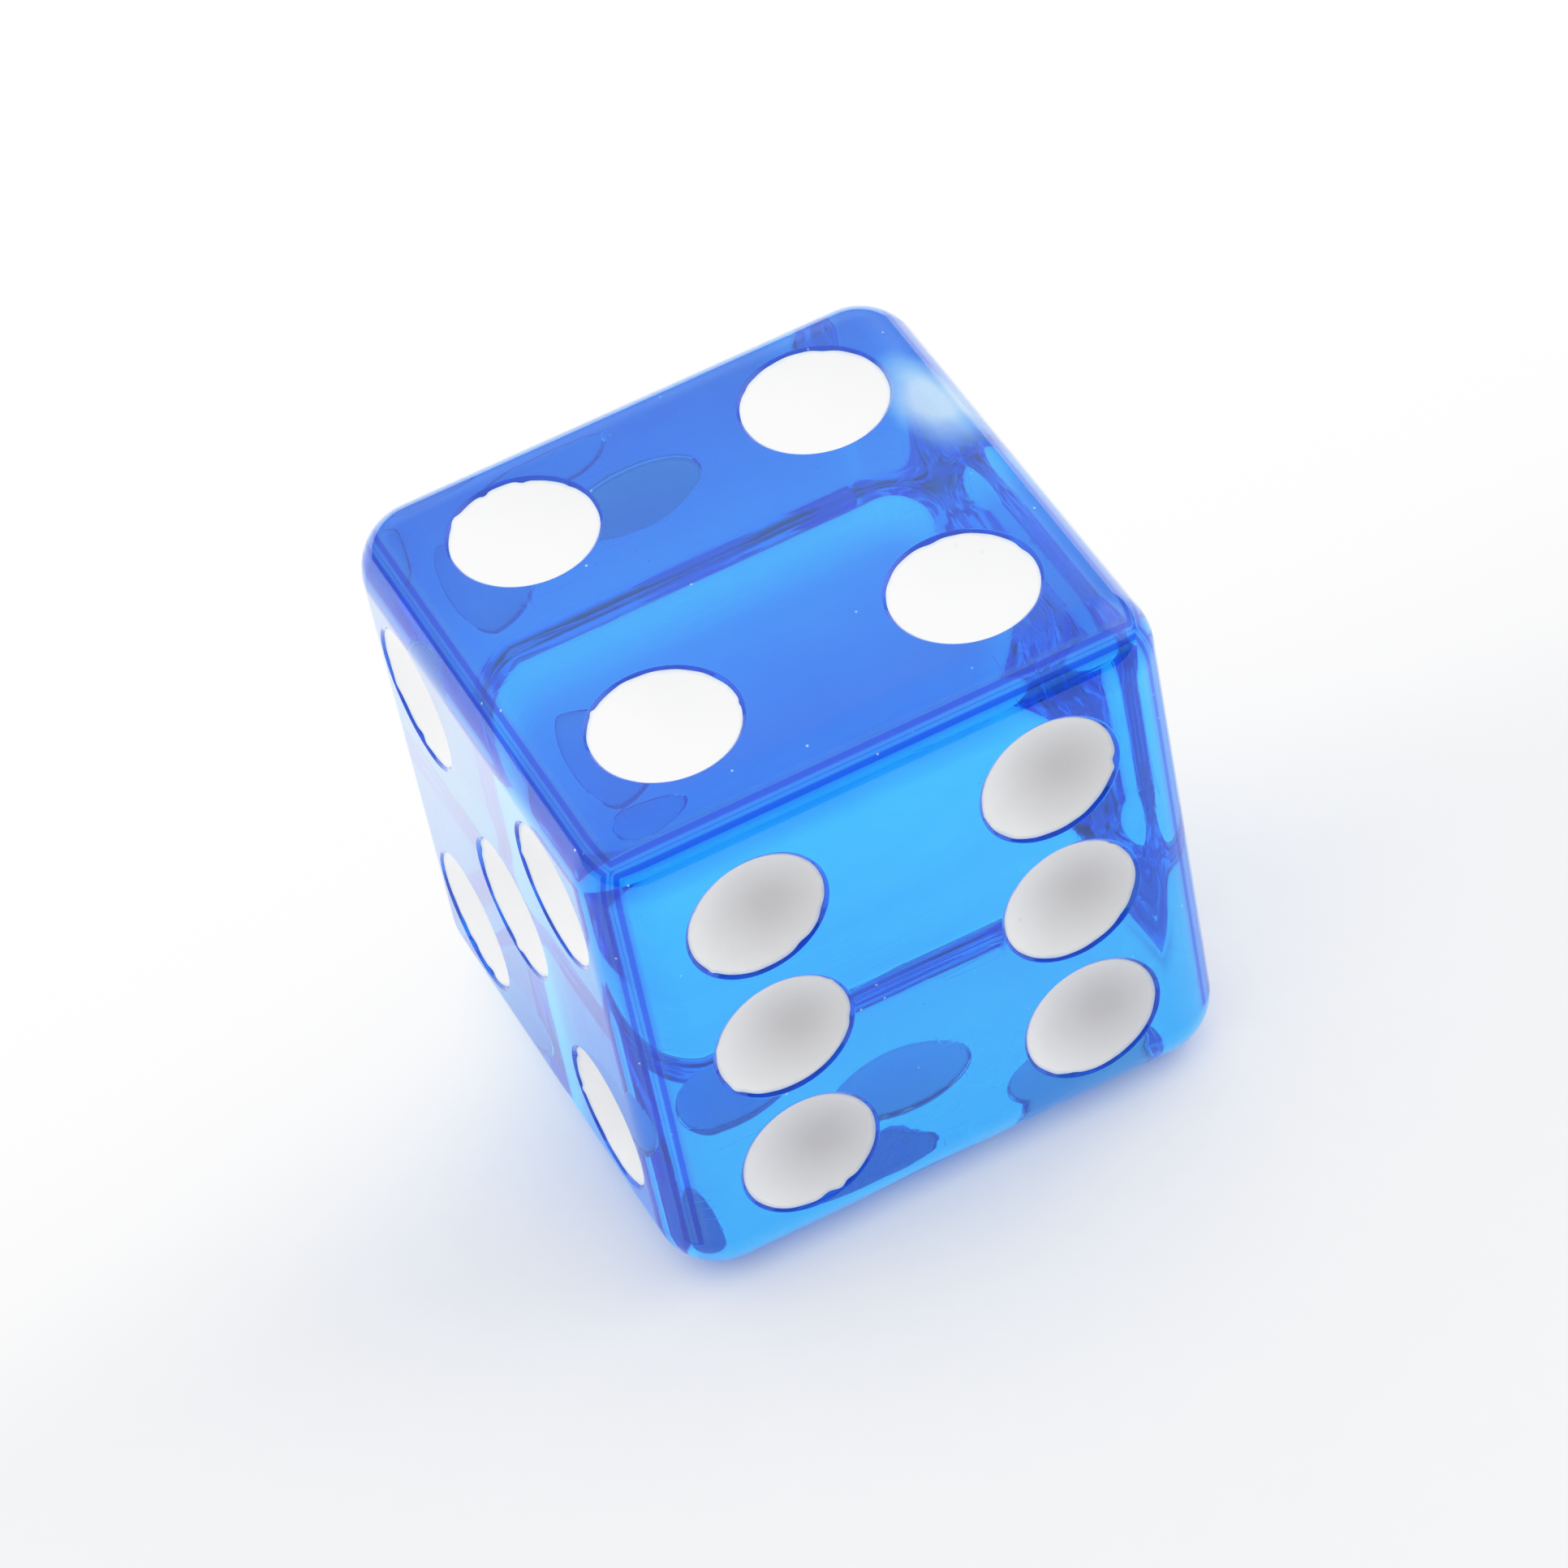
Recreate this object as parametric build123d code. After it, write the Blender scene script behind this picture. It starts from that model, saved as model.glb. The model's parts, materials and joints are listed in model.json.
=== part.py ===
from build123d import *
import math
import os

# Six-sided casino-style die: a moulded translucent acrylic cube with eased edges and 21 dished
# pips, each holding its own film of white enamel.
#
# Frame, in millimetres: the origin is the centre of the resting footprint, +Z up. The 4 faces up
# (+Z), the 3 is the resting face (-Z), the 6 faces front (-Y), the 1 back (+Y), the 5 left (-X)
# and the 2 right (+X). Opposite faces sum to 7 and 1-2-3 run counter-clockwise round their corner.

# ---- driving dimensions ----
SIDE = 16.0             # face to face, every way
EDGE_R = 1.75           # easing radius on all twelve edges; the corners are spherical patches
PIP_OFFSET = 4.16       # corner pips, from the face's centre lines
SIX_LINE = 4.08         # the six's two lines, from the centre line between them
SIX_PITCH = 4.40        # pip to pip along a line of the six
DIMPLE_RIM_R = 2.03     # dished recess, radius where it meets the flat face
DIMPLE_DEPTH = 0.80     # recess depth at its centre
SIX_DIMPLE_DEPTH = 0.73  # the six's recesses: the same sphere, sunk a little less, so a smaller rim
ENAMEL_EDGE_DEPTH = 0.06  # the enamel film stops this far below the face, leaving bare wall above
ENAMEL_MIDDLE = 0.17    # thickness of the enamel at the recess's centre; it thins to nothing at its edge

HALF = SIDE / 2
DIMPLE_SPHERE_R = (DIMPLE_RIM_R**2 + DIMPLE_DEPTH**2) / (2 * DIMPLE_DEPTH)

# ---- the faces: a plane each, its z outwards, and its x and y along the named directions ----
CENTRE = Vector(0, 0, HALF)


def face_plane(normal, across):
    n = Vector(*normal)
    return Plane(origin=CENTRE + n * HALF, x_dir=Vector(*across), z_dir=n)


TOP_4 = face_plane((0, 0, 1), (1, 0, 0))      # x to the right, y to the back
BASE_3 = face_plane((0, 0, -1), (1, 0, 0))    # x to the right, y to the front
FRONT_6 = face_plane((0, -1, 0), (1, 0, 0))   # x to the right, y up
BACK_1 = face_plane((0, 1, 0), (-1, 0, 0))    # x to the left, y up
LEFT_5 = face_plane((-1, 0, 0), (0, -1, 0))   # x to the front, y up
RIGHT_2 = face_plane((1, 0, 0), (0, 1, 0))    # x to the back, y up

P, S, T = PIP_OFFSET, SIX_LINE, SIX_PITCH
PIPS = {
    "pip_1_centre": (BACK_1, 0, 0),
    "pip_2_upper_back": (RIGHT_2, P, P),
    "pip_2_lower_front": (RIGHT_2, -P, -P),
    "pip_3_back_left": (BASE_3, -P, -P),
    "pip_3_centre": (BASE_3, 0, 0),
    "pip_3_front_right": (BASE_3, P, P),
    "pip_4_back_left": (TOP_4, -P, P),
    "pip_4_back_right": (TOP_4, P, P),
    "pip_4_front_left": (TOP_4, -P, -P),
    "pip_4_front_right": (TOP_4, P, -P),
    "pip_5_upper_back": (LEFT_5, -P, P),
    "pip_5_upper_front": (LEFT_5, P, P),
    "pip_5_centre": (LEFT_5, 0, 0),
    "pip_5_lower_back": (LEFT_5, -P, -P),
    "pip_5_lower_front": (LEFT_5, P, -P),
    "pip_6_upper_left": (FRONT_6, -S, T),
    "pip_6_middle_left": (FRONT_6, -S, 0),
    "pip_6_lower_left": (FRONT_6, -S, -T),
    "pip_6_upper_right": (FRONT_6, S, T),
    "pip_6_middle_right": (FRONT_6, S, 0),
    "pip_6_lower_right": (FRONT_6, S, -T),
}


def arc_at(sphere_r, centre_z, z):
    """A point of a sphere centred on the z axis at centre_z, on its lower side at height z."""
    return (math.sqrt(max(sphere_r**2 - (z - centre_z) ** 2, 0.0)), z)


def spun(points_and_arcs):
    """Revolves a closed XZ profile, given as a list of edges, round the z axis."""
    return revolve(make_face(Plane.XZ * Wire(points_and_arcs)), Axis.Z, 360)


def recess_cutter(depth):
    """The recess, from its floor to just outside the face, so that the cut leaves a clean rim."""
    top = 0.4
    centre = DIMPLE_SPHERE_R - depth
    a = arc_at(DIMPLE_SPHERE_R, centre, top)
    m = arc_at(DIMPLE_SPHERE_R, centre, -0.5 * depth)
    return spun(
        [
            ThreePointArc((0, -depth), m, a),
            Line(a, (0, top)),
            Line((0, top), (0, -depth)),
        ]
    )


def enamel_film(depth):
    """The film: its underside is the recess wall, and its open side is a shallower dish."""
    centre = DIMPLE_SPHERE_R - depth
    edge = arc_at(DIMPLE_SPHERE_R, centre, -ENAMEL_EDGE_DEPTH)
    under = arc_at(DIMPLE_SPHERE_R, centre, -0.6 * depth)
    dish = depth - ENAMEL_MIDDLE
    sag = dish - ENAMEL_EDGE_DEPTH
    dish_r = (edge[0] ** 2 + sag**2) / (2 * sag)
    over = arc_at(dish_r, dish_r - dish, -0.6 * dish)
    film = spun(
        [
            ThreePointArc((0, -depth), under, edge),
            ThreePointArc(edge, over, (0, -dish)),
            Line((0, -dish), (0, -depth)),
        ]
    )
    print(f"recess {depth:.2f} deep: enamel edge radius {edge[0]:.3f}, dish sphere {dish_r:.3f}, film {film.volume:.4f} mm3")
    return film


def depth_of(name):
    return SIX_DIMPLE_DEPTH if name.startswith("pip_6_") else DIMPLE_DEPTH


os.makedirs("parts", exist_ok=True)

# ---- the moulded block ----
block = Pos(0, 0, HALF) * Box(SIDE, SIDE, SIDE)
block = fillet(block.edges(), EDGE_R)
cutters = {d: recess_cutter(d) for d in (DIMPLE_DEPTH, SIX_DIMPLE_DEPTH)}
for name, (plane, x, y) in PIPS.items():
    block = block - plane * Pos(x, y, 0) * cutters[depth_of(name)]
block = block.solid()
export_step(block, "parts/die_block.step")

# ---- the enamel films ----
films = {d: enamel_film(d) for d in (DIMPLE_DEPTH, SIX_DIMPLE_DEPTH)}
for name, (plane, x, y) in PIPS.items():
    export_step((plane * Pos(x, y, 0) * films[depth_of(name)]).solid(), f"parts/{name}.step")

print(f"block {block.volume:.2f} mm3, recess sphere {DIMPLE_SPHERE_R:.3f}")
print(f"thinnest land between pips {min(SIX_PITCH, 2 * SIX_LINE) - 2 * DIMPLE_RIM_R:.2f} mm or more")
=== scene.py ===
import json
import math
import random

import bpy
import numpy as np
from mathutils import Matrix, Vector
from mathutils.geometry import delaunay_2d_cdt


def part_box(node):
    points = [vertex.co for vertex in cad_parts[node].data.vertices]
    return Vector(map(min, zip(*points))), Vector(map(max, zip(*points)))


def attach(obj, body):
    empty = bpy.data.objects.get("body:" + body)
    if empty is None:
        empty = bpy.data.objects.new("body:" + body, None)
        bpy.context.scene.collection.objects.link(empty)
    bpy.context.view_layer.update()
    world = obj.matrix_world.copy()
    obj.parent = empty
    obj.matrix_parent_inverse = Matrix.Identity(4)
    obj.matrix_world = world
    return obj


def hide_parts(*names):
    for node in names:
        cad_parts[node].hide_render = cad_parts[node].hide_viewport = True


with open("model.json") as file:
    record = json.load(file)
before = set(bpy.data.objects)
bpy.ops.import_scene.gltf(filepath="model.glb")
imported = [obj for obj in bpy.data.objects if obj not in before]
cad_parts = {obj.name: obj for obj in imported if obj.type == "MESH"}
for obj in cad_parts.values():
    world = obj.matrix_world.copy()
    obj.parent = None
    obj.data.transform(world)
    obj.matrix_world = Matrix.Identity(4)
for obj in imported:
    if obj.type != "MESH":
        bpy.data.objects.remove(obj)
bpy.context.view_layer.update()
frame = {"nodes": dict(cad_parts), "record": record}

# A translucent blue die on a pale floor. Shapes are worked out in millimetres in the CAD frame and
# written in metres. The CAD gives the block's place and every pip's place and radius; the numbers
# below are the CAD's own radii and depths, plus the small rounding that polishing leaves.
MM = 0.001
EDGE_R = 1.75        # easing radius of the twelve edges
SPHERE_R = 2.9755625 # the sphere that every recess is cut with
EDGE_DEPTH = 0.06    # the enamel stops this far below the face
MIDDLE = 0.17        # thickness of the enamel at a recess's centre
RIM_ROUND = 0.07     # rounding of a recess's rim
BITE = 0.006         # the enamel's underside sits this far into the acrylic, so that no air is left between
AROUND = 96          # points round a recess
ALONG = 40           # points along an edge
TURN_STEP = 5.0      # degrees between points across an eased edge

record = frame["record"]
lo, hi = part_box("die_block")
HALF = (hi.x - lo.x) / 2 / MM
CENTRE = np.array([(lo[i] + hi[i]) / 2 / MM for i in range(3)])
FLAT = HALF - EDGE_R

# each face: its outward normal and two directions across it, right-handed
FACES = {
    "top": ((0, 0, 1), (1, 0, 0), (0, 1, 0)),
    "base": ((0, 0, -1), (1, 0, 0), (0, -1, 0)),
    "front": ((0, -1, 0), (1, 0, 0), (0, 0, 1)),
    "back": ((0, 1, 0), (-1, 0, 0), (0, 0, 1)),
    "left": ((-1, 0, 0), (0, -1, 0), (0, 0, 1)),
    "right": ((1, 0, 0), (0, 1, 0), (0, 0, 1)),
}
FACES = {k: tuple(np.array(v, float) for v in vs) for k, vs in FACES.items()}


class Recess:
    """A dished recess: a sphere sunk by depth, with its rim rounded over on the flat face."""

    def __init__(self, depth):
        self.depth = depth
        self.centre = SPHERE_R - depth
        # where the rim's rounding leaves the flat face, and where it meets the sphere
        self.rim = math.sqrt((SPHERE_R + RIM_ROUND) ** 2 - (self.centre + RIM_ROUND) ** 2)
        turn = math.atan2(self.rim, self.centre + RIM_ROUND)
        self.wall_top = self.rim - RIM_ROUND * math.sin(turn)
        self.film = math.sqrt(SPHERE_R**2 - (self.centre + EDGE_DEPTH) ** 2)
        # (radius, height, normal's radial part, normal's outward part) from the flat face down to the floor
        self.profile = []
        for k in range(6):
            t = turn * k / 5
            self.profile.append((self.rim - RIM_ROUND * math.sin(t), RIM_ROUND * (math.cos(t) - 1), -math.sin(t), math.cos(t)))
        top = math.asin(self.wall_top / SPHERE_R)
        for k in range(1, 16):
            t = top * (1 - k / 16.0)
            self.profile.append((SPHERE_R * math.sin(t), self.centre - SPHERE_R * math.cos(t), -math.sin(t), math.cos(t)))

    def wall(self, r):
        """Height of the recess sphere at radius r, below the face."""
        return self.centre - math.sqrt(SPHERE_R**2 - r * r)


RECESSES = {}


def recess(depth):
    if depth not in RECESSES:
        RECESSES[depth] = Recess(depth)
    return RECESSES[depth]


def pips_by_face():
    """By face: each pip's node, its place across the face, and its recess, read from the CAD."""
    found = {k: [] for k in FACES}
    for node in sorted(frame["nodes"]):
        if not node.startswith("pip_"):
            continue
        low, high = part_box(node)
        low, high = np.array(low) / MM - CENTRE, np.array(high) / MM - CENTRE
        middle, size = (low + high) / 2, high - low
        axis = int(np.argmin(size))
        normal = np.zeros(3)
        normal[axis] = 1.0 if middle[axis] > 0 else -1.0
        face = next(k for k, (n, a, b) in FACES.items() if n @ normal > 0.9)
        n, a, b = FACES[face]
        depth = round(float(size[axis]) + EDGE_DEPTH, 2)
        found[face].append((node, round(float(middle @ a), 2), round(float(middle @ b), 2), recess(depth)))
    return found


PIPS = pips_by_face()


# ---- the block ----
class Patches:
    """Gathers quads and triangles with the exact normal of each point, and welds points that coincide."""

    def __init__(self):
        self.index, self.points, self.normals, self.faces = {}, [], [], []

    def point(self, p, n):
        key = tuple(int(round(v * 1e5)) for v in p)
        if key not in self.index:
            self.index[key] = len(self.points)
            self.points.append(p)
            self.normals.append(n / np.linalg.norm(n))
        return self.index[key]

    def face(self, *ids):
        ids = [i for k, i in enumerate(ids) if i != ids[k - 1]]
        if len(ids) > 2:
            self.faces.append(ids)

    def tidy(self):
        """Drops the points that no face uses."""
        kept = sorted({i for ids in self.faces for i in ids})
        new = {old: k for k, old in enumerate(kept)}
        self.points = [self.points[i] for i in kept]
        self.normals = [self.normals[i] for i in kept]
        self.faces = [[new[i] for i in ids] for ids in self.faces]


TURNS = [2 * math.pi * k / AROUND for k in range(AROUND)]


def over(v):
    """How far a coordinate lies past the flat land, with its sign."""
    return math.copysign(max(abs(v) - FLAT, 0.0), v)


def eased(x, y):
    """A point of the block's skin above (x, y) of a square sheet that is wrapped over the face and half-way
    round its edges. Returns its place and normal in the face's own directions."""
    dx, dy = over(x), over(y)
    d = np.array([dx, dy, EDGE_R])
    d /= np.linalg.norm(d)
    return np.array([x - dx, y - dy, FLAT]) + d * EDGE_R, d


def drop(x, y):
    """At (x, y) seen square on: how far the skin has dropped below the face there, and its slopes."""
    dx, dy = over(x), over(y)
    h = math.sqrt(EDGE_R**2 - dx * dx - dy * dy)
    return h - EDGE_R, -dx / h, -dy / h


def to_sheet(x, y):
    """The sheet's coordinates of the skin's point seen square on at (x, y)."""
    dx, dy = over(x), over(y)
    h = math.sqrt(EDGE_R**2 - dx * dx - dy * dy)
    return x - dx + EDGE_R * dx / h, y - dy + EDGE_R * dy / h


PANEL_TURN = 10.0  # the triangulated panel goes this many degrees round each edge, past the outermost recess
BEND = [FLAT + EDGE_R * math.tan(math.radians(t)) for t in np.arange(PANEL_TURN, 45.01, TURN_STEP)]
PANEL = BEND[0]


def build_block():
    m = Patches()
    steps = list(np.linspace(-PANEL, PANEL, ALONG + 1))
    lines = [-v for v in BEND[:0:-1]] + steps + BEND[1:]

    for face, (n, a, b) in FACES.items():

        def put(x, y, z, normal):
            return m.point(CENTRE + a * x + b * y + n * z, a * normal[0] + b * normal[1] + n * normal[2])

        def on_sheet(x, y):
            p, d = eased(x, y)
            return put(p[0], p[1], p[2], d)

        # the eased edges and corners round the panel, half of each edge from each face
        inner = len(BEND) - 1
        grid = [[on_sheet(x, y) for y in lines] for x in lines]
        last = len(lines) - 1
        for i in range(last):
            for j in range(last):
                if inner <= i < last - inner and inner <= j < last - inner:
                    continue
                m.face(grid[i][j], grid[i + 1][j], grid[i + 1][j + 1], grid[i][j + 1])

        # the panel, with a round opening for each recess
        loop = [(s, -PANEL) for s in steps[:-1]] + [(PANEL, s) for s in steps[:-1]]
        loop += [(s, PANEL) for s in steps[:0:-1]] + [(-PANEL, s) for s in steps[:0:-1]]
        pts, edges = list(loop), [(k, (k + 1) % len(loop)) for k in range(len(loop))]
        for node, cx, cy, cut in PIPS[face]:
            first = len(pts)
            pts += [to_sheet(cx + cut.rim * math.cos(t), cy + cut.rim * math.sin(t)) for t in TURNS]
            edges += [(first + k, first + (k + 1) % AROUND) for k in range(AROUND)]

        def clear(x, y, room):
            return all(math.hypot(x - cx, y - cy) > cut.rim + room for _, cx, cy, cut in PIPS[face])

        bends = [FLAT, FLAT + EDGE_R * math.tan(math.radians(PANEL_TURN / 2))]
        for v in bends:
            for s in steps[1:-1]:
                for x, y in ((v, s), (-v, s), (s, v), (s, -v)):
                    if max(abs(x), abs(y)) <= v and clear(x, y, 0.03):
                        pts.append((x, y))
        pitch = 0.62
        for row in range(-14, 15):
            for col in range(-14, 15):
                x, y = (col + 0.5 * (row % 2)) * pitch, row * pitch * 0.87
                if max(abs(x), abs(y)) < FLAT - 0.2 and clear(x, y, 0.2):
                    pts.append((x, y))
        out = delaunay_2d_cdt([Vector(p) for p in pts], edges, [], 0, 1e-7)
        # the triangulator works in its own precision, so its points are taken back to the exact ones
        exact = [pts[olds[0]] if olds else tuple(v) for v, olds in zip(out[0], out[3])]
        ids = [on_sheet(*p) for p in exact]
        chord = math.cos(math.pi / AROUND)
        for tri in out[2]:
            q = np.array([exact[k] for k in tri])
            flat = np.array([eased(*p)[0][:2] for p in q]).mean(0)
            if any(math.hypot(flat[0] - cx, flat[1] - cy) < cut.rim * chord - 1e-4 for _, cx, cy, cut in PIPS[face]):
                continue
            area = (q[1][0] - q[0][0]) * (q[2][1] - q[0][1]) - (q[2][0] - q[0][0]) * (q[1][1] - q[0][1])
            if abs(area) < 1e-9:
                continue
            tri = list(tri) if area > 0 else list(tri)[::-1]
            m.face(*[ids[k] for k in tri])

        # the recesses, whose rims follow the skin where it starts to turn
        for node, cx, cy, cut in PIPS[face]:
            rings = []
            for pr, pz, nr, nz in cut.profile:
                ring = []
                for t in TURNS:
                    x, y = cx + pr * math.cos(t), cy + pr * math.sin(t)
                    fall, sx, sy = drop(x, y)
                    fade = max(0.0, 1 + pz / 0.04)
                    normal = (nr * math.cos(t) - nz * sx * fade, nr * math.sin(t) - nz * sy * fade, nz)
                    ring.append(put(x, y, HALF + pz + fall * fade, normal))
                rings.append(ring)
            for r0, r1 in zip(rings, rings[1:]):
                for k in range(AROUND):
                    j = (k + 1) % AROUND
                    m.face(r0[k], r0[j], r1[j], r1[k])
            bottom = put(cx, cy, HALF - cut.depth, (0, 0, 1))
            for k in range(AROUND):
                m.face(rings[-1][k], rings[-1][(k + 1) % AROUND], bottom)
    m.tidy()
    return m


def to_object(name, points, faces, normals=None):
    mesh = bpy.data.meshes.new(name)
    mesh.from_pydata([tuple(p * MM) for p in points], [], faces)
    mesh.validate()
    mesh.update()
    for poly in mesh.polygons:
        poly.use_smooth = True
    if normals is not None:
        mesh.normals_split_custom_set_from_vertices([tuple(n) for n in normals])
    ob = bpy.data.objects.new(name, mesh)
    bpy.context.scene.collection.objects.link(ob)
    return ob


def paint_float(ob, name, values):
    ob.data.attributes.new(name, "FLOAT", "POINT").data.foreach_set("value", np.asarray(values, np.float32))


patches = build_block()
block = to_object("acrylic_block", patches.points, patches.faces, patches.normals)
# how far each point is round an eased edge, for the wear there
rel = np.abs((np.array(patches.points) - CENTRE)) - FLAT
worn = np.clip(np.sort(rel, axis=1)[:, 1] / (EDGE_R * 0.45), 0, 1)
paint_float(block, "edge", worn)
# the line where two or three faces' easings meet, and the bare ring round each film, which are painted darker: painted
# shade for the dark lines and rims that refraction draws there
turned = np.sort(np.clip(rel, 0, None), axis=1)
ridge = np.degrees(np.arctan2(turned[:, 1], np.maximum(turned[:, 2], 1e-9))) / 45
away = np.array(patches.points) - CENTRE
ridge[(away[:, 2] < -FLAT) | ((away[:, 1] > FLAT) & (away[:, 2] < FLAT))] = 0.0  # none round the base, nor up the back
for face, (n, a, b) in FACES.items():
    for node, cx, cy, cut in PIPS[face]:
        sunk = (away @ n < HALF - 0.002) & (away @ n > FLAT) & (np.hypot(away @ a - cx, away @ b - cy) < cut.rim - 0.002)
        ridge[sunk] = 1.0
paint_float(block, "ridge", ridge)


# ---- the enamel films ----
def build_film(node, face, cx, cy, cut):
    """A film of enamel in its recess: dished on top, with the slightly ragged outline that wiped paint has."""
    rng = random.Random("enamel " + node)
    n, a, b = FACES[face]
    waves = [(k, rng.uniform(0.2, 1.0) * 0.011 / math.sqrt(k), rng.uniform(0, 2 * math.pi)) for k in (1, 2, 3, 5, 7, 11, 17)]
    nicks = [
        (rng.uniform(0, 2 * math.pi), rng.choice((-1, -1, 1)) * rng.uniform(0.012, 0.05), math.radians(rng.uniform(2.5, 7)))
        for _ in range(rng.randint(3, 6))
    ]
    swell = [(rng.uniform(-1, 1), rng.uniform(-1, 1)) for _ in range(3)]

    def outline(t):
        r = cut.film + sum(w * math.cos(k * t + p) for k, w, p in waves)
        for where, depth, wide in nicks:
            d = math.atan2(math.sin(t - where), math.cos(t - where))
            r += depth * math.exp(-((d / wide) ** 2))
        return min(max(r, cut.film - 0.09), cut.wall_top - 0.004)

    count = AROUND * 2
    turns = [2 * math.pi * k / count for k in range(count)]
    points, rings = [], []

    def put(r, t, z):
        points.append(CENTRE + n * (HALF + z) + a * (cx + r * math.cos(t)) + b * (cy + r * math.sin(t)))
        return len(points) - 1

    # underside, just inside the acrylic, from the middle out to the film's edge
    under = SPHERE_R + BITE
    shares = [k / 15 for k in range(1, 15)] + [0.97, 1.0]
    for s in shares:
        ring = []
        for t in turns:
            lean = math.asin(outline(t) / SPHERE_R) * s
            ring.append(put(under * math.sin(lean), t, cut.centre - under * math.cos(lean)))
        rings.append(ring)
    # dish, from the film's edge back to the middle
    dish = cut.depth - MIDDLE
    inward = (0.985, 0.965, 0.94, 0.9, 0.84, 0.76, 0.66, 0.54, 0.41, 0.27, 0.13)
    top = []
    for s in inward:
        ring = []
        for t in turns:
            edge = outline(t)
            rim_z = cut.wall(edge)
            r = edge * s
            flow = 0.004 * sum(u * math.cos((k + 1) * t) + v * math.sin((k + 1) * t) for k, (u, v) in enumerate(swell))
            z = -dish + (rim_z + dish) * s**2 + flow * s * s * (1 - s)
            ring.append(put(r, t, max(z, cut.wall(r) + 0.012 * min(1.0, (1 - s) * 20))))
        top.append(ring)
    middle_under = put(0.0, 0.0, cut.centre - under)
    middle_top = put(0.0, 0.0, -dish)
    every = rings + top
    faces = []
    for r0, r1 in zip(every, every[1:]):
        for k in range(count):
            j = (k + 1) % count
            faces.append((r0[j], r0[k], r1[k], r1[j])[::-1])
    for k in range(count):
        j = (k + 1) % count
        faces.append((rings[0][k], rings[0][j], middle_under)[::-1])
        faces.append((top[-1][k], top[-1][j], middle_top))
    ob = to_object(node.replace("pip_", "enamel_"), points, faces)
    # how thin the film gets towards its edge, and which side lies against the acrylic
    thin, against = np.zeros(len(points)), np.zeros(len(points))
    for ring, s in zip(rings + top, shares + list(inward)):
        thin[ring] = s
    for ring in rings[:-1]:
        against[ring] = 1.0
    against[middle_under] = 1.0
    paint_float(ob, "reach", thin)
    paint_float(ob, "against", against)
    # painted shade: each dish is darkened towards its middle, most just to one side of it, strongest on the front face
    # and faint on the top and base
    where = (np.array(points) - CENTRE)
    u, v = (where @ a - cx) / cut.film, (where @ b - cy) / cut.film
    dish_shade = np.clip(1.15 - np.hypot(u - 0.28, v + 0.12), 0.0, 1.0) * PAINTED_DISH_SHADE.get(face, 0.12)
    paint_float(ob, "painted_dish_shade", dish_shade)
    return ob


# how much painted shade the dishes on each face get; the top and base get 0.12
PAINTED_DISH_SHADE = {"front": 1.0, "left": 0.5, "right": 0.5, "back": 0.6}
films = {}
for face, pips in PIPS.items():
    for node, cx, cy, cut in pips:
        films[node] = build_film(node, face, cx, cy, cut)


# ---- materials ----
def node_material(name):
    mat = bpy.data.materials.new(name)
    mat.use_nodes = True
    nt = mat.node_tree
    nt.nodes.clear()
    out = nt.nodes.new("ShaderNodeOutputMaterial")
    p = nt.nodes.new("ShaderNodeBsdfPrincipled")
    nt.links.new(p.outputs["BSDF"], out.inputs["Surface"])
    return mat, nt, p, out


def noise(nt, coord, scale, detail=2.0, rough=0.5, distortion=0.0):
    n = nt.nodes.new("ShaderNodeTexNoise")
    n.inputs["Scale"].default_value = scale
    n.inputs["Detail"].default_value = detail
    n.inputs["Roughness"].default_value = rough
    n.inputs["Distortion"].default_value = distortion
    nt.links.new(coord, n.inputs["Vector"])
    return n.outputs["Fac"]


def remap(nt, value, a, b, c, d):
    n = nt.nodes.new("ShaderNodeMapRange")
    n.clamp = True
    for k, v in zip(("From Min", "From Max", "To Min", "To Max"), (a, b, c, d)):
        n.inputs[k].default_value = v
    nt.links.new(value, n.inputs["Value"])
    return n.outputs["Result"]


def math_node(nt, op, a, b=None, clamp=False):
    n = nt.nodes.new("ShaderNodeMath")
    n.operation = op
    n.use_clamp = clamp
    for k, v in enumerate((a, b)):
        if v is None:
            continue
        if isinstance(v, (int, float)):
            n.inputs[k].default_value = v
        else:
            nt.links.new(v, n.inputs[k])
    return n.outputs[0]


def mix_colour(nt, fac, a, b):
    n = nt.nodes.new("ShaderNodeMix")
    n.data_type = "RGBA"
    if isinstance(fac, (int, float)):
        n.inputs[0].default_value = fac
    else:
        nt.links.new(fac, n.inputs[0])
    for k, v in ((6, a), (7, b)):
        if isinstance(v, tuple):
            n.inputs[k].default_value = v
        else:
            nt.links.new(v, n.inputs[k])
    return n.outputs[2]


def attribute(nt, name):
    n = nt.nodes.new("ShaderNodeAttribute")
    n.attribute_name = name
    return n.outputs["Fac"]


def stretched(nt, coord, turn, stretch):
    n = nt.nodes.new("ShaderNodeMapping")
    n.inputs["Rotation"].default_value = turn
    n.inputs["Scale"].default_value = stretch
    nt.links.new(coord, n.inputs["Vector"])
    return n.outputs["Vector"]


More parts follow.
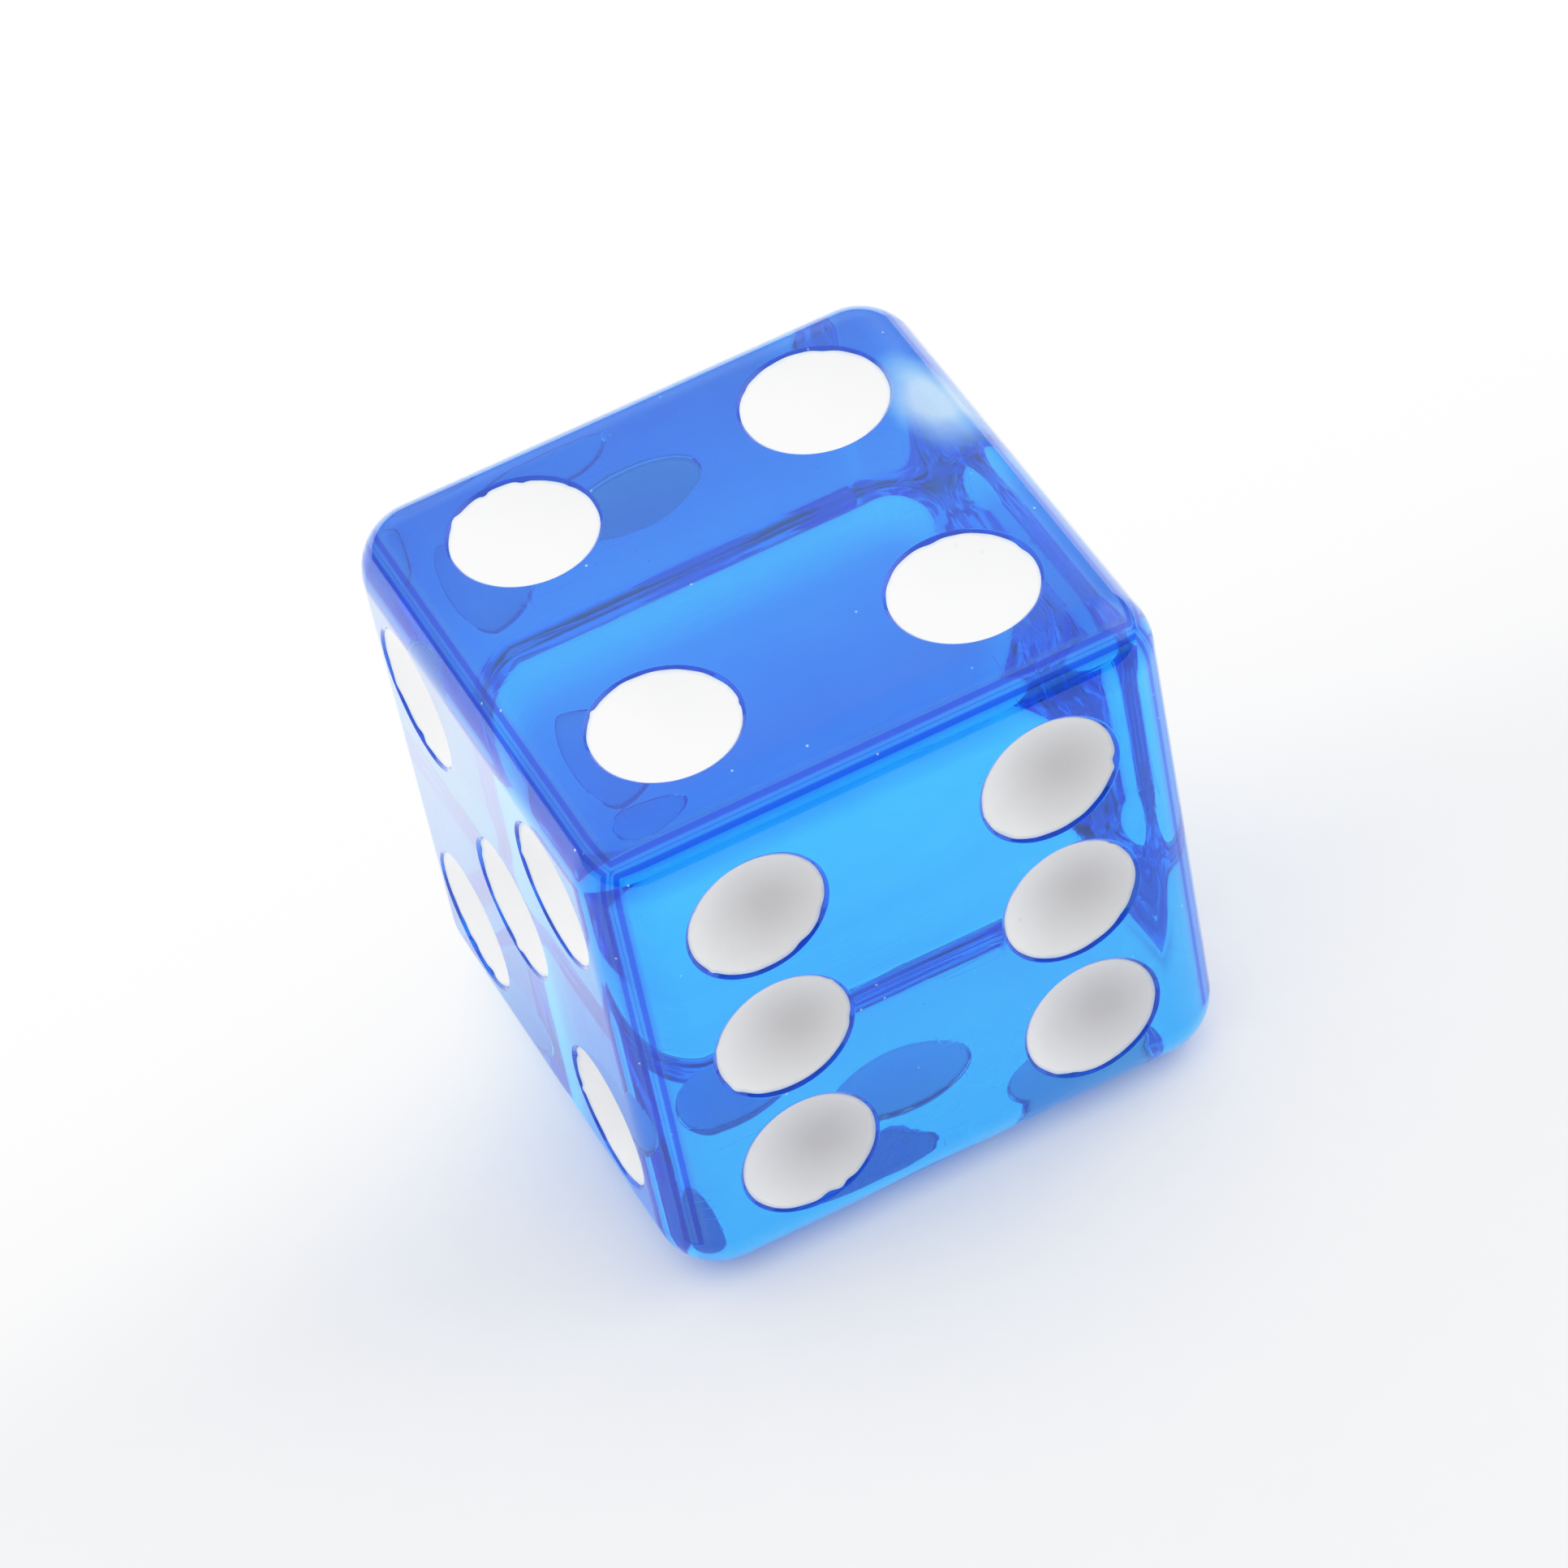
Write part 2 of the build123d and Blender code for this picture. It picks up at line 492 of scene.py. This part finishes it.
def acrylic():
    mat, nt, p, out = node_material("blue_acrylic")
    coord = nt.nodes.new("ShaderNodeTexCoord").outputs["Object"]
    edge = attribute(nt, "edge")

    # hairline scratches: two families of thin stretched ridges, kept only where a broad noise allows them
    lines = None
    for turn, stretch, scale in (
        ((0.4, 0.9, 0.3), (1.0, 14.0, 1.0), 620.0),
        ((1.2, 0.2, 2.1), (16.0, 1.0, 1.0), 540.0),
        ((2.0, 1.4, 0.8), (1.0, 1.0, 15.0), 580.0),
    ):
        ridge = noise(nt, stretched(nt, coord, turn, stretch), scale / 8.0, 1.0, 0.5)
        ridge = math_node(nt, "ABSOLUTE", math_node(nt, "SUBTRACT", ridge, 0.5))
        ridge = remap(nt, ridge, 0.0, 0.006, 1.0, 0.0)
        lines = ridge if lines is None else math_node(nt, "MAXIMUM", lines, ridge)
    where = remap(nt, noise(nt, coord, 420.0, 2.0, 0.6), 0.52, 0.66, 0.0, 1.0)
    where = math_node(nt, "ADD", where, math_node(nt, "MULTIPLY", edge, 0.35), clamp=True)
    scratches = math_node(nt, "MULTIPLY", lines, where)

    # rubbed patches on the edges and a little everywhere
    rub = remap(nt, noise(nt, coord, 900.0, 4.0, 0.62), 0.5, 0.75, 0.0, 1.0)
    rub = math_node(nt, "MULTIPLY", rub, math_node(nt, "ADD", math_node(nt, "MULTIPLY", edge, 0.8), 0.2))
    rough = math_node(nt, "ADD", 0.012, math_node(nt, "MULTIPLY", rub, 0.06))
    rough = math_node(nt, "ADD", rough, math_node(nt, "MULTIPLY", scratches, 0.16))

    # one frosted, milky patch on the right edge of the top
    at = nt.nodes.new("ShaderNodeSeparateXYZ")
    nt.links.new(coord, at.inputs["Vector"])
    off_x = math_node(nt, "DIVIDE", math_node(nt, "SUBTRACT", at.outputs["X"], 6.6 * MM), 1.25 * MM)
    off_y = math_node(nt, "DIVIDE", math_node(nt, "SUBTRACT", at.outputs["Y"], 2.5 * MM), 2.3 * MM)
    off = math_node(nt, "SQRT", math_node(nt, "ADD", math_node(nt, "MULTIPLY", off_x, off_x), math_node(nt, "MULTIPLY", off_y, off_y)))
    off = math_node(nt, "ADD", off, math_node(nt, "MULTIPLY", math_node(nt, "SUBTRACT", noise(nt, coord, 500.0, 3.0, 0.55), 0.5), 0.45))
    milky_patch = math_node(nt, "MULTIPLY", remap(nt, off, 0.30, 1.0, 1.0, 0.0), remap(nt, at.outputs["Z"], lo.z + 14.6 * MM, lo.z + 15.6 * MM, 0.0, 1.0))
    rough = math_node(nt, "ADD", rough, math_node(nt, "MULTIPLY", milky_patch, 0.25))
    nt.links.new(rough, p.inputs["Roughness"])
    # dust, thickest along the edges
    cells = nt.nodes.new("ShaderNodeTexVoronoi")
    cells.inputs["Scale"].default_value = 1500.0
    nt.links.new(coord, cells.inputs["Vector"])
    lucky = math_node(nt, "ADD", noise(nt, coord, 800.0, 2.0, 0.6), math_node(nt, "MULTIPLY", edge, 0.04))
    dust = math_node(nt, "MULTIPLY", remap(nt, cells.outputs["Distance"], 0.035, 0.075, 1.0, 0.0), remap(nt, lucky, 0.53, 0.58, 0.0, 0.8))
    # painted shade: the dark line along each edge is double, a pair of thin bands either side of its middle, and its
    # middle and the bare rings are darker still
    ridge = attribute(nt, "ridge")
    bands = math_node(nt, "ABSOLUTE", math_node(nt, "SUBTRACT", ridge, 0.86))
    painted_dark_lines = math_node(nt, "MAXIMUM", remap(nt, bands, 0.045, 0.12, 1.0, 0.0), remap(nt, ridge, 0.98, 1.0, 0.5, 0.95))
    painted_dark_lines = math_node(nt, "MULTIPLY", painted_dark_lines, remap(nt, ridge, 0.66, 0.76, 0.0, 1.0))
    # painted highlights: thin bright wavy lines painted white across the front right of the base, where refracted
    # light glints; the same ripple bumps the skin there
    x, y, z = (at.outputs[k] for k in "XYZ")
    low = remap(nt, z, lo.z + 0.3 * MM, lo.z + 1.4 * MM, 1.0, 0.0)
    low = math_node(nt, "MULTIPLY", low, remap(nt, x, -5.0 * MM, 2.0 * MM, 0.0, 1.0))
    low = math_node(nt, "MULTIPLY", low, remap(nt, y, 2.0 * MM, -3.0 * MM, 0.0, 1.0))
    ripple = noise(nt, coord, 240.0, 1.0, 0.45, 1.6)
    painted_bright_lines = remap(nt, math_node(nt, "ABSOLUTE", math_node(nt, "SUBTRACT", ripple, 0.5)), 0.02, 0.05, 1.0, 0.0)
    painted_bright_lines = math_node(nt, "MULTIPLY", painted_bright_lines, low)
    # painted light: from half-way down, the front face is tinted paler and more cyan so that it looks brighter
    pale = math_node(nt, "MULTIPLY", remap(nt, z, lo.z + 8.5 * MM, lo.z + 5.5 * MM, 0.0, 0.7), remap(nt, y, -7.4 * MM, -7.8 * MM, 0.0, 1.0))
    # a trace of milkiness everywhere, more of it on the milky patch and where there is dust, and more in the painted
    # dark lines, which are painted shade
    clear = remap(nt, milky_patch, 0.0, 1.0, 0.95, 0.45)
    for mask, much in ((dust, 0.6), (painted_dark_lines, 0.38)):
        clear = math_node(nt, "SUBTRACT", clear, math_node(nt, "MULTIPLY", mask, much), clamp=True)
    nt.links.new(clear, p.inputs["Transmission Weight"])

    # streaks of slightly uneven dye
    cloud = noise(nt, stretched(nt, coord, (0.3, 0.5, 0.0), (1.0, 1.0, 2.2)), 120.0, 3.0, 0.55, 0.8)
    colour = mix_colour(nt, remap(nt, cloud, 0.35, 0.65, 0.0, 1.0), (0.10, 0.59, 1.0, 1), (0.15, 0.64, 1.0, 1))
    colour = mix_colour(nt, math_node(nt, "MULTIPLY", rub, 0.12), colour, (0.60, 0.80, 1.0, 1))
    # painted light on the lower front, painted shade in the dark lines and rings, painted highlights in the bright
    # lines on the base
    colour = mix_colour(nt, pale, colour, (0.30, 0.86, 1.0, 1))
    colour = mix_colour(nt, painted_dark_lines, colour, (0.003, 0.09, 0.62, 1))
    colour = mix_colour(nt, painted_bright_lines, colour, (1.0, 1.0, 1.0, 1))
    colour = mix_colour(nt, milky_patch, colour, (0.62, 0.80, 1.0, 1))
    colour = mix_colour(nt, dust, colour, (0.80, 0.86, 0.95, 1))
    nt.links.new(colour, p.inputs["Base Color"])

    # polished by tumbling, so the faces wander by a few microns
    height = math_node(nt, "MULTIPLY", noise(nt, coord, 260.0, 2.0, 0.45), 1.0)
    height = math_node(nt, "ADD", height, math_node(nt, "MULTIPLY", noise(nt, coord, 1500.0, 3.0, 0.5), 0.05))
    height = math_node(nt, "SUBTRACT", height, math_node(nt, "MULTIPLY", scratches, 0.12))
    height = math_node(nt, "ADD", height, math_node(nt, "MULTIPLY", math_node(nt, "MULTIPLY", ripple, low), 4.0))
    bump = nt.nodes.new("ShaderNodeBump")
    bump.inputs["Strength"].default_value = 1.0
    bump.inputs["Distance"].default_value = 9e-6
    nt.links.new(height, bump.inputs["Height"])
    nt.links.new(bump.outputs["Normal"], p.inputs["Normal"])

    p.inputs["Metallic"].default_value = 0.0
    p.inputs["IOR"].default_value = 1.49
    volume = nt.nodes.new("ShaderNodeVolumeAbsorption")
    volume.inputs["Color"].default_value = (0.0, 0.71, 1.0, 1)
    volume.inputs["Density"].default_value = 130.0
    nt.links.new(volume.outputs["Volume"], out.inputs["Volume"])
    return mat


def enamel():
    mat, nt, p, out = node_material("white_enamel")
    coord = nt.nodes.new("ShaderNodeTexCoord").outputs["Object"]
    reach = attribute(nt, "reach")
    tone = noise(nt, coord, 700.0, 4.0, 0.6)
    colour = mix_colour(nt, remap(nt, tone, 0.3, 0.7, 0.0, 1.0), (0.87, 0.87, 0.865, 1), (0.92, 0.92, 0.915, 1))
    # painted shade in the dishes: a grey mixed in towards their middles
    colour = mix_colour(nt, math_node(nt, "MULTIPLY", attribute(nt, "painted_dish_shade"), 0.85), colour, (0.60, 0.585, 0.585, 1))
    # painted light: the side against the acrylic is made whiter than the open dish, so the films seen through the
    # block look brighter
    colour = mix_colour(nt, attribute(nt, "against"), colour, (0.97, 0.975, 0.98, 1))
    # blue shows through where the film thins out at its edge
    ragged = math_node(nt, "ADD", reach, math_node(nt, "MULTIPLY", math_node(nt, "SUBTRACT", noise(nt, coord, 1700.0, 3.0, 0.6), 0.5), 0.06))
    colour = mix_colour(nt, remap(nt, ragged, 0.945, 1.0, 0.0, 0.6), colour, (0.22, 0.42, 0.86, 1))
    # a few specks of dust and pinholes
    grit = nt.nodes.new("ShaderNodeTexVoronoi")
    grit.inputs["Scale"].default_value = 1900.0
    nt.links.new(coord, grit.inputs["Vector"])
    chosen = remap(nt, noise(nt, coord, 1100.0, 1.0, 0.5), 0.62, 0.70, 0.0, 1.0)
    speck = math_node(nt, "MULTIPLY", remap(nt, grit.outputs["Distance"], 0.06, 0.14, 1.0, 0.0), chosen)
    colour = mix_colour(nt, math_node(nt, "MULTIPLY", speck, 0.35), colour, (0.45, 0.47, 0.52, 1))
    nt.links.new(colour, p.inputs["Base Color"])
    rough = remap(nt, noise(nt, coord, 1300.0, 3.0, 0.55), 0.3, 0.7, 0.34, 0.50)
    nt.links.new(rough, p.inputs["Roughness"])
    bump = nt.nodes.new("ShaderNodeBump")
    bump.inputs["Strength"].default_value = 1.0
    bump.inputs["Distance"].default_value = 6e-6
    height = math_node(nt, "ADD", noise(nt, coord, 1200.0, 3.0, 0.5), math_node(nt, "MULTIPLY", speck, -0.5))
    nt.links.new(height, bump.inputs["Height"])
    nt.links.new(bump.outputs["Normal"], p.inputs["Normal"])
    p.inputs["IOR"].default_value = 1.46
    return mat


ACRYLIC, ENAMEL = acrylic(), enamel()
block.data.materials.append(ACRYLIC)
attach(block, "root")
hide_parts("die_block")
for node, film in films.items():
    film.data.materials.append(ENAMEL)
    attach(film, "root")
    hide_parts(node)

# ---- floor ----
def pale_floor():
    size, z = 1.5, lo.z - 1.5e-5
    mesh = bpy.data.meshes.new("floor")
    mesh.from_pydata([(-size, -size, z), (size, -size, z), (size, size, z), (-size, size, z)], [], [(0, 1, 2, 3)])
    ob = bpy.data.objects.new("floor", mesh)
    bpy.context.scene.collection.objects.link(ob)
    mat, nt, p, out = node_material("floor_white")
    coord = nt.nodes.new("ShaderNodeTexCoord").outputs["Object"]
    tone = remap(nt, noise(nt, coord, 900.0, 3.0, 0.6), 0.3, 0.7, 0.0, 1.0)
    nt.links.new(mix_colour(nt, tone, (0.70, 0.70, 0.70, 1), (0.712, 0.712, 0.712, 1)), p.inputs["Base Color"])
    p.inputs["Roughness"].default_value = 0.8
    p.inputs["Specular IOR Level"].default_value = 0.2
    # a white sweep that glows a little from beneath, like a light table, which is painted light; the glow is weak in
    # front of the die and under its front half and rises behind it, painted shade for the darker floor in front
    p.inputs["Emission Color"].default_value = (1.0, 1.0, 1.0, 1)
    place = nt.nodes.new("ShaderNodeSeparateXYZ")
    nt.links.new(coord, place.inputs["Vector"])
    glow = remap(nt, place.outputs["Y"], -0.004, 0.016, 0.11, 0.98)
    glow.node.interpolation_type = "SMOOTHSTEP"
    nt.links.new(glow, p.inputs["Emission Strength"])
    ob.data.materials.append(mat)
    return ob


floor = pale_floor()


# ---- light ----
# the room: bright overhead and behind, dimmer towards the camera and the horizon, with a soft key on the right
world = bpy.data.worlds.new("studio")
world.use_nodes = True
wt = world.node_tree
wt.nodes.clear()
world_out = wt.nodes.new("ShaderNodeOutputWorld")
background = wt.nodes.new("ShaderNodeBackground")
direction = wt.nodes.new("ShaderNodeTexCoord").outputs["Generated"]
split = wt.nodes.new("ShaderNodeSeparateXYZ")
wt.links.new(direction, split.inputs["Vector"])
DIM, BEHIND = 0.22, 1.4
LAMPS = (((0.85, -0.05, 0.52), 1.3),)


def smooth(value, a, b, c, d):
    out = remap(wt, value, a, b, c, d)
    out.node.interpolation_type = "SMOOTHSTEP"
    return out


rise = math_node(wt, "ADD", split.outputs["Y"], math_node(wt, "MULTIPLY", split.outputs["Z"], 0.9))
strength = smooth(rise, -0.60, 0.25, DIM, BEHIND)
for towards, power in LAMPS:
    aim = wt.nodes.new("ShaderNodeVectorMath")
    aim.operation = "DOT_PRODUCT"
    wt.links.new(direction, aim.inputs[0])
    aim.inputs[1].default_value = Vector(towards).normalized()
    strength = math_node(wt, "ADD", strength, smooth(aim.outputs["Value"], 0.80, 0.97, 0.0, power))
# the walls are dimmer towards the horizon
strength = math_node(wt, "MULTIPLY", strength, smooth(split.outputs["Z"], -0.05, 0.42, 0.35, 1.0))
wt.links.new(strength, background.inputs["Strength"])
background.inputs["Color"].default_value = (0.97, 0.98, 1.0, 1)
wt.links.new(background.outputs["Background"], world_out.inputs["Surface"])
bpy.context.scene.world = world

# ---- camera: in front, a little to the left, looking down at about 45 degrees ----
right = Vector((0.88584, -0.43891, -0.15047))
place = Vector((-0.04016, -0.12558, 0.13866))
target = Vector((-0.00015, 0.0, 0.00794))


look = (target - place).normalized()
back = -look
side = (right - look * right.dot(look)).normalized()
up = back.cross(side)
cam_data = bpy.data.cameras.new("camera")
cam_data.sensor_width = 36.0
cam_data.lens = 165.0
cam_data.clip_start, cam_data.clip_end = 0.01, 20.0
cam = bpy.data.objects.new("camera", cam_data)
cam.matrix_world = Matrix(
    (
        (side.x, up.x, back.x, place.x),
        (side.y, up.y, back.y, place.y),
        (side.z, up.z, back.z, place.z),
        (0, 0, 0, 1),
    )
)
bpy.context.scene.collection.objects.link(cam)
bpy.context.scene.camera = cam

scene = bpy.context.scene
scene.view_settings.view_transform = "Standard"
scene.view_settings.look = "None"
# the camera's response: straight up to the middle tones, with a soft shoulder for the bright ones
scene.view_settings.use_curve_mapping = True
response = scene.view_settings.curve_mapping
response.white_level = (2.0, 2.0, 2.0)
SHOULDER = ((0.1, 0.1), (0.2, 0.2), (0.3, 0.3), (0.4, 0.4), (0.5, 0.5), (0.6, 0.6), (0.7, 0.695), (0.8, 0.782), (0.9, 0.856),
            (1.0, 0.908), (1.1, 0.940), (1.2, 0.960), (1.35, 0.976), (1.5, 0.986), (1.7, 0.994))
line = response.curves[3]
for seen, shown in SHOULDER:
    line.points.new(seen / 2.0, shown)
for point in line.points:
    point.handle_type = "AUTO"
response.update()
scene.cycles.max_bounces = 48
scene.cycles.transmission_bounces = 32
scene.cycles.glossy_bounces = 40
scene.cycles.diffuse_bounces = 6
scene.cycles.sample_clamp_indirect = 4.0
